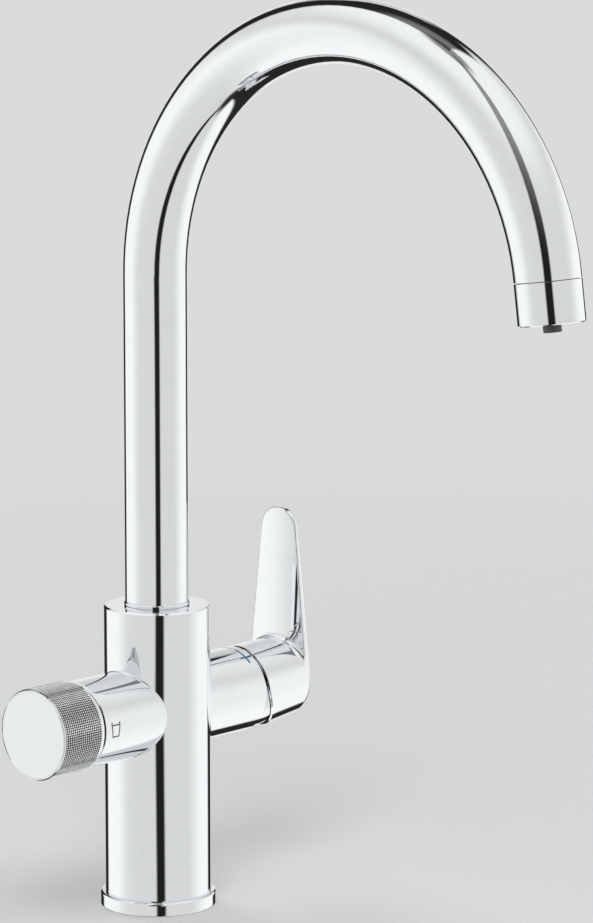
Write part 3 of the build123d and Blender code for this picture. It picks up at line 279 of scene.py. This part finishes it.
CHROME = polished("chrome_plating", (0.86, 0.87, 0.88), 0.022, 0.045)
KNURL = knurled("knurled_plating", (0.86, 0.87, 0.88))
SATIN_FACE = machined("satin_turned_face", (0.84, 0.85, 0.86), 0.27, 0.29, 0, 12000.0, 0.0000006,
                      (0.0, 0.0, ARM_Z), 0.99, 1.0)
SATIN = machined("satin_metal", (0.72, 0.73, 0.74), 0.26, 0.36, 2, 4200.0)
STEEL = machined("plain_steel", (0.62, 0.63, 0.65), 0.24, 0.36, 2, 3600.0)
STEEL_ACROSS = machined("turned_steel_across", (0.62, 0.63, 0.65), 0.22, 0.34, 0, 3600.0,
                        centre=(0.0, 0.0, ARM_Z))
BRASS = machined("brass_upright", (0.76, 0.62, 0.34), 0.18, 0.30, 2, 3200.0)
BRASS_ACROSS = machined("brass_across", (0.76, 0.62, 0.34), 0.18, 0.30, 0, 3200.0, centre=(0.0, 0.0, ARM_Z))
BRASS_DULL = machined("brass_tarnished", (0.20, 0.18, 0.15), 0.32, 0.44, 2, 3200.0)
RUBBER = moulded("black_rubber", (0.04, 0.04, 0.045), 0.62, 0.78, 1800.0, 0.00003)
WHITE_PLASTIC = moulded("white_plastic", (0.82, 0.83, 0.82), 0.38, 0.5)
GREY_PLASTIC = moulded("grey_plastic", (0.08, 0.085, 0.09), 0.36, 0.5)
CERAMIC = moulded("lapped_ceramic", (0.88, 0.87, 0.84), 0.14, 0.22, 5200.0, 0.000003, coat=0.2)
RED = moulded("red_enamel", (0.55, 0.14, 0.12), 0.3, 0.4, 3000.0, 0.000008, coat=0.1)
BLUE = moulded("blue_enamel", (0.008, 0.10, 0.19), 0.3, 0.4, 3000.0, 0.000008, coat=0.1)
GREY = moulded("grey_enamel", (0.05, 0.05, 0.055), 0.3, 0.4, 3000.0, 0.000008, coat=0.1)

SLOT_MATERIALS = {"chrome": CHROME, "satin_metal": SATIN, "brass": BRASS, "steel": STEEL, "rubber": RUBBER,
                  "white_plastic": WHITE_PLASTIC, "grey_plastic": GREY_PLASTIC, "valve_ceramic": CERAMIC,
                  "red_enamel": RED, "blue_enamel": BLUE, "grey_enamel": GREY}
OWN_MATERIALS = {"knob_end_cap": SATIN_FACE, "outlet_connector": BRASS_DULL, "headpart_body": BRASS_ACROSS,
                 "headpart_spindle": BRASS_ACROSS, "cartridge_nut": BRASS_ACROSS, "knob_screw": STEEL_ACROSS,
                 "spindle_clip": STEEL_ACROSS, "cartridge_stem": STEEL_ACROSS}

for part in frame["record"]["subparts"]:
    piece = nodes[part["node"]]
    finish = OWN_MATERIALS.get(part["node"], SLOT_MATERIALS[part["material_slot"]])
    if not piece.material_slots:
        piece.data.materials.append(finish)
    for slot in piece.material_slots:
        slot.material = finish


def knob_point(along, radius, angle):
    """A point round the knob's axis, which runs towards -X."""
    return Vector((KNOB_SEAT_X - along, -radius * math.sin(angle), ARM_Z + radius * math.cos(angle)))


def ring_of(mesh, along, radius, count, turn=0.0):
    angles = [math.tau * (step + turn) / count for step in range(count)]
    return [mesh.verts.new(knob_point(along, radius, angle)) for angle in angles]


def join_rings(mesh, first, second, smooth=True):
    count = len(first)
    for step in range(count):
        after = (step + 1) % count
        face = mesh.faces.new((first[step], first[after], second[after], second[step]))
        face.smooth = smooth


def knurled_sleeve():
    """The filter knob's sleeve: rows of small flat-topped pyramids between two plain rings."""
    mesh = bmesh.new()
    count = 2 * KNURL_AROUND
    low, high = KNOB_BAND
    row = (high - low) / KNURL_ROWS
    floor_r = KNOB_R - KNURL_DEPTH
    foot_r = KNOB_R - FOOT_STEP

    # Foot ring, from the bore outwards and along to the band
    inner = ring_of(mesh, KNOB_START, KNOB_BORE_R, count)
    rings = [ring_of(mesh, KNOB_START, foot_r - FOOT_ROUND, count),
             ring_of(mesh, KNOB_START + FOOT_ROUND_HALF, foot_r - FOOT_ROUND_HALF, count),
             ring_of(mesh, KNOB_START + FOOT_ROUND, foot_r, count),
             ring_of(mesh, low - BAND_EDGE, foot_r, count),
             ring_of(mesh, low, floor_r, count)]
    join_rings(mesh, inner, rings[0])
    for first, second in zip(rings, rings[1:]):
        join_rings(mesh, first, second)

    # Pyramids: each flat top is raised inside a square of grooves
    edge = rings[-1]
    for index in range(KNURL_ROWS):
        far = ring_of(mesh, low + (index + 1) * row, floor_r, count)
        corners = [ring_of(mesh, low + (index + along) * row, KNOB_R, KNURL_AROUND, around)
                   for along in KNURL_TOP for around in KNURL_TOP]
        for step in range(KNURL_AROUND):
            left, middle, right = 2 * step, 2 * step + 1, (2 * step + 2) % count
            near_left, near_right, far_left, far_right = [ring[step] for ring in corners]
            for border in ((near_left, near_right, far_right, far_left),
                           (edge[left], edge[middle], edge[right], near_right, near_left),
                           (far[left], far[middle], far[right], far_right, far_left),
                           (edge[left], far[left], far_left, near_left),
                           (edge[right], far[right], far_right, near_right)):
                mesh.faces.new(border).material_index = 1
        edge = far

    # Outer ring, the step round the satin disc, and the bore
    profile = [(high + BAND_EDGE, KNOB_R - END_STEP), (KNOB_FACE - 0.00012, KNOB_CAP_R + 0.00034),
               (KNOB_FACE - 0.00003, KNOB_CAP_R + 0.00022), (KNOB_FACE, KNOB_CAP_R + 0.0001),
               (KNOB_FACE - 0.00002, KNOB_CAP_R), (KNOB_FACE - KNOB_CAP_H, KNOB_CAP_R),
               (KNOB_FACE - KNOB_CAP_H, KNOB_BORE_R), (KNOB_START, KNOB_BORE_R)]
    for along, radius in profile[:-1]:
        ring = ring_of(mesh, along, radius, count)
        join_rings(mesh, edge, ring)
        edge = ring
    join_rings(mesh, edge, inner)

    bmesh.ops.recalc_face_normals(mesh, faces=mesh.faces)
    data = bpy.data.meshes.new("knurled_sleeve")
    mesh.to_mesh(data)
    mesh.free()
    sleeve = bpy.data.objects.new("knurled_sleeve", data)
    bpy.context.scene.collection.objects.link(sleeve)
    data.materials.append(CHROME)
    data.materials.append(KNURL)
    return sleeve


sleeve = knurled_sleeve()
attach(sleeve, "knob")
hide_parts("knob_sleeve")


def studio_world():
    """Even grey for the eye, even light for plain surfaces, and a pale room with dark cards for metal."""
    world = bpy.data.worlds.new("studio")
    bpy.context.scene.world = world
    world.use_nodes = True
    tree = Nodes(world.node_tree)
    direction = tree.add("ShaderNodeTexCoord").outputs["Generated"]
    parts = tree.add("ShaderNodeSeparateXYZ", {"Vector": direction})
    x, y, z = parts.outputs
    height = tree.math("DEGREES", tree.math("ARCSINE", z))

    # Turn from the photograph's camera, positive to its right, in degrees
    front = Vector((math.sin(CAMERA_AZIMUTH), -math.cos(CAMERA_AZIMUTH)))
    side = Vector((-front.y, front.x))
    ahead = tree.math("ADD", tree.math("MULTIPLY", x, front.x), tree.math("MULTIPLY", y, front.y))
    right = tree.math("ADD", tree.math("MULTIPLY", x, side.x), tree.math("MULTIPLY", y, side.y))
    turn = tree.math("DEGREES", tree.math("ARCTAN2", right, ahead))
    away = tree.math("ABSOLUTE", turn)

    # Pale walls: grey in front, brighter at both sides near the horizon and again higher up
    far_left = tree.math("MULTIPLY", tree.span(turn, -60.0, -96.0), 0.75)
    left_side = tree.math("ADD", far_left, tree.span(turn, -36.0, -100.0, 0.0, 0.25, smooth=False))
    right_side = tree.span(turn, 66.0, 112.0)
    sides = tree.math("MULTIPLY", tree.math("MAXIMUM", left_side, right_side),
                      tree.span(height, 4.0, 30.0, SIDE_GAIN, 0.0))
    walls = tree.math("ADD", sides, tree.span(height, 25.0, 60.0, WALL_LOW, WALL_HIGH))
    walls = tree.math("MULTIPLY", walls, tree.span(height, 76.0, 84.0, 1.0, 0.29))

    # A dark card by the camera: it stands further to the left above the horizon, and is paler higher up
    raised = tree.span(height, -8.0, -1.0)
    left_lean = tree.span(height, 0.0, 60.0, -1.5, 5.5, smooth=False)
    right_lean = tree.span(height, 0.0, 65.0, 17.0, 23.5, smooth=False)
    left_edge = tree.math("MULTIPLY_ADD", raised, -13.5, left_lean)
    right_edge = tree.math("MULTIPLY_ADD", raised, -7.5, right_lean)
    card = tree.math("MULTIPLY", tree.span(tree.math("SUBTRACT", turn, left_edge), -3.0, 3.0),
                     tree.span(tree.math("SUBTRACT", turn, right_edge), -3.0, 3.0, 1.0, 0.0))
    card = tree.math("MULTIPLY", card, tree.span(height, 8.0, 55.0, 0.98, 0.70))

    # The unlit room behind the tap, with a pale panel straight behind
    upper = tree.math("MULTIPLY", tree.span(height, -6.0, 2.0), tree.span(height, 38.0, 50.0, 12.0, 0.0))
    from_right = tree.math("SUBTRACT", tree.math("SUBTRACT", turn, 142.0), upper)
    behind = tree.math("MAXIMUM", tree.span(turn, -134.0, -142.0), tree.span(from_right, -4.0, 4.0))
    panel = tree.math("MULTIPLY", tree.band(height, -33.0, 38.0, 2.0), tree.span(away, 163.0, 171.0))
    unlit = tree.math("MULTIPLY_ADD", panel, -PANEL_GAIN, 1.0)
    unlit = tree.math("MULTIPLY", unlit, tree.span(height, 58.0, 72.0, 0.98, 0.80))
    behind = tree.math("MULTIPLY", behind, unlit)
    below = tree.span(height, -78.0, -86.0, 0.0, 0.96)
    dark = tree.math("MAXIMUM", card, tree.math("MAXIMUM", behind, below))
    level = tree.math("MULTIPLY", walls, tree.math("SUBTRACT", 1.0, dark))
    mirror_light = tree.add("ShaderNodeBackground", {"Color": WALL_TINT, "Strength": level})

    eye_light = tree.add("ShaderNodeBackground", {"Color": EYE_GREY, "Strength": 1.0})
    fill_light = tree.add("ShaderNodeBackground", {"Color": FILL_WHITE, "Strength": FILL_LEVEL})
    rays = tree.add("ShaderNodeLightPath")
    seen = tree.math("MAXIMUM", rays.outputs["Is Camera Ray"], rays.outputs["Is Transmission Ray"])
    first = tree.add("ShaderNodeMixShader", {"Fac": rays.outputs["Is Glossy Ray"]})
    tree.tree.links.new(fill_light.outputs[0], first.inputs[1])
    tree.tree.links.new(mirror_light.outputs[0], first.inputs[2])
    second = tree.add("ShaderNodeMixShader", {"Fac": seen})
    tree.tree.links.new(first.outputs[0], second.inputs[1])
    tree.tree.links.new(eye_light.outputs[0], second.inputs[2])
    output = tree.add("ShaderNodeOutputWorld")
    tree.tree.links.new(second.outputs[0], output.inputs["Surface"])


def floor_sheet():
    """A pale round worktop that fades into the room, and isn't seen from below."""
    mesh = bmesh.new()
    bmesh.ops.create_circle(mesh, cap_ends=True, segments=96, radius=3.0)
    data = bpy.data.meshes.new("worktop_surface")
    mesh.to_mesh(data)
    mesh.free()
    floor = bpy.data.objects.new("worktop_surface", data)
    floor.location = (0.0, 0.0, -0.00005)
    bpy.context.scene.collection.objects.link(floor)
    material, tree, shader, place = principled("pale_floor")
    fine = tree.noise(place, 300.0, 4.0)
    tree.set(shader.inputs["Base Color"], tree.mix(fine, FLOOR_DARK, FLOOR_PALE))
    tree.set(shader.inputs["Roughness"], tree.span(fine, 0.3, 0.7, 0.7, 0.8))
    shader.inputs["Specular IOR Level"].default_value = 0.2
    far = tree.add("ShaderNodeVectorMath", {0: place}, operation="LENGTH").outputs["Value"]
    fade = tree.span(far, 0.45, 1.3)
    rays = tree.add("ShaderNodeLightPath")
    below = tree.add("ShaderNodeNewGeometry").outputs["Backfacing"]
    clear = tree.math("MAXIMUM", tree.math("MAXIMUM", fade, rays.outputs["Is Glossy Ray"]), below)
    see_through = tree.add("ShaderNodeBsdfTransparent")
    blend = tree.add("ShaderNodeMixShader", {"Fac": clear})
    tree.tree.links.new(shader.outputs["BSDF"], blend.inputs[1])
    tree.tree.links.new(see_through.outputs[0], blend.inputs[2])
    output = [node for node in tree.tree.nodes if node.type == "OUTPUT_MATERIAL"][0]
    tree.tree.links.new(blend.outputs[0], output.inputs["Surface"])
    data.materials.append(material)


def soft_lamp(name, place, aim, size, power):
    light = bpy.data.lights.new(name, "AREA")
    light.shape = "DISK"
    light.size = size
    light.energy = power
    lamp = bpy.data.objects.new(name, light)
    lamp.location = place
    lamp.rotation_euler = (Vector(aim) - Vector(place)).to_track_quat("-Z", "Y").to_euler()
    lamp.visible_glossy = False
    bpy.context.scene.collection.objects.link(lamp)


def photo_camera():
    data = bpy.data.cameras.new("camera")
    data.lens = CAMERA_LENS
    data.sensor_width = 36.0
    data.sensor_fit = "AUTO"
    data.clip_start = 0.02
    data.clip_end = 50.0
    camera = bpy.data.objects.new("camera", data)
    camera.location = CAMERA_AT
    camera.rotation_euler = (math.radians(90.0 - CAMERA_PITCH), 0.0, math.radians(-CAMERA_YAW))
    bpy.context.scene.collection.objects.link(camera)
    bpy.context.scene.camera = camera


studio_world()
floor_sheet()
for lamp in LAMPS:
    soft_lamp(*lamp)
photo_camera()
bpy.context.scene.view_settings.view_transform = "Standard"
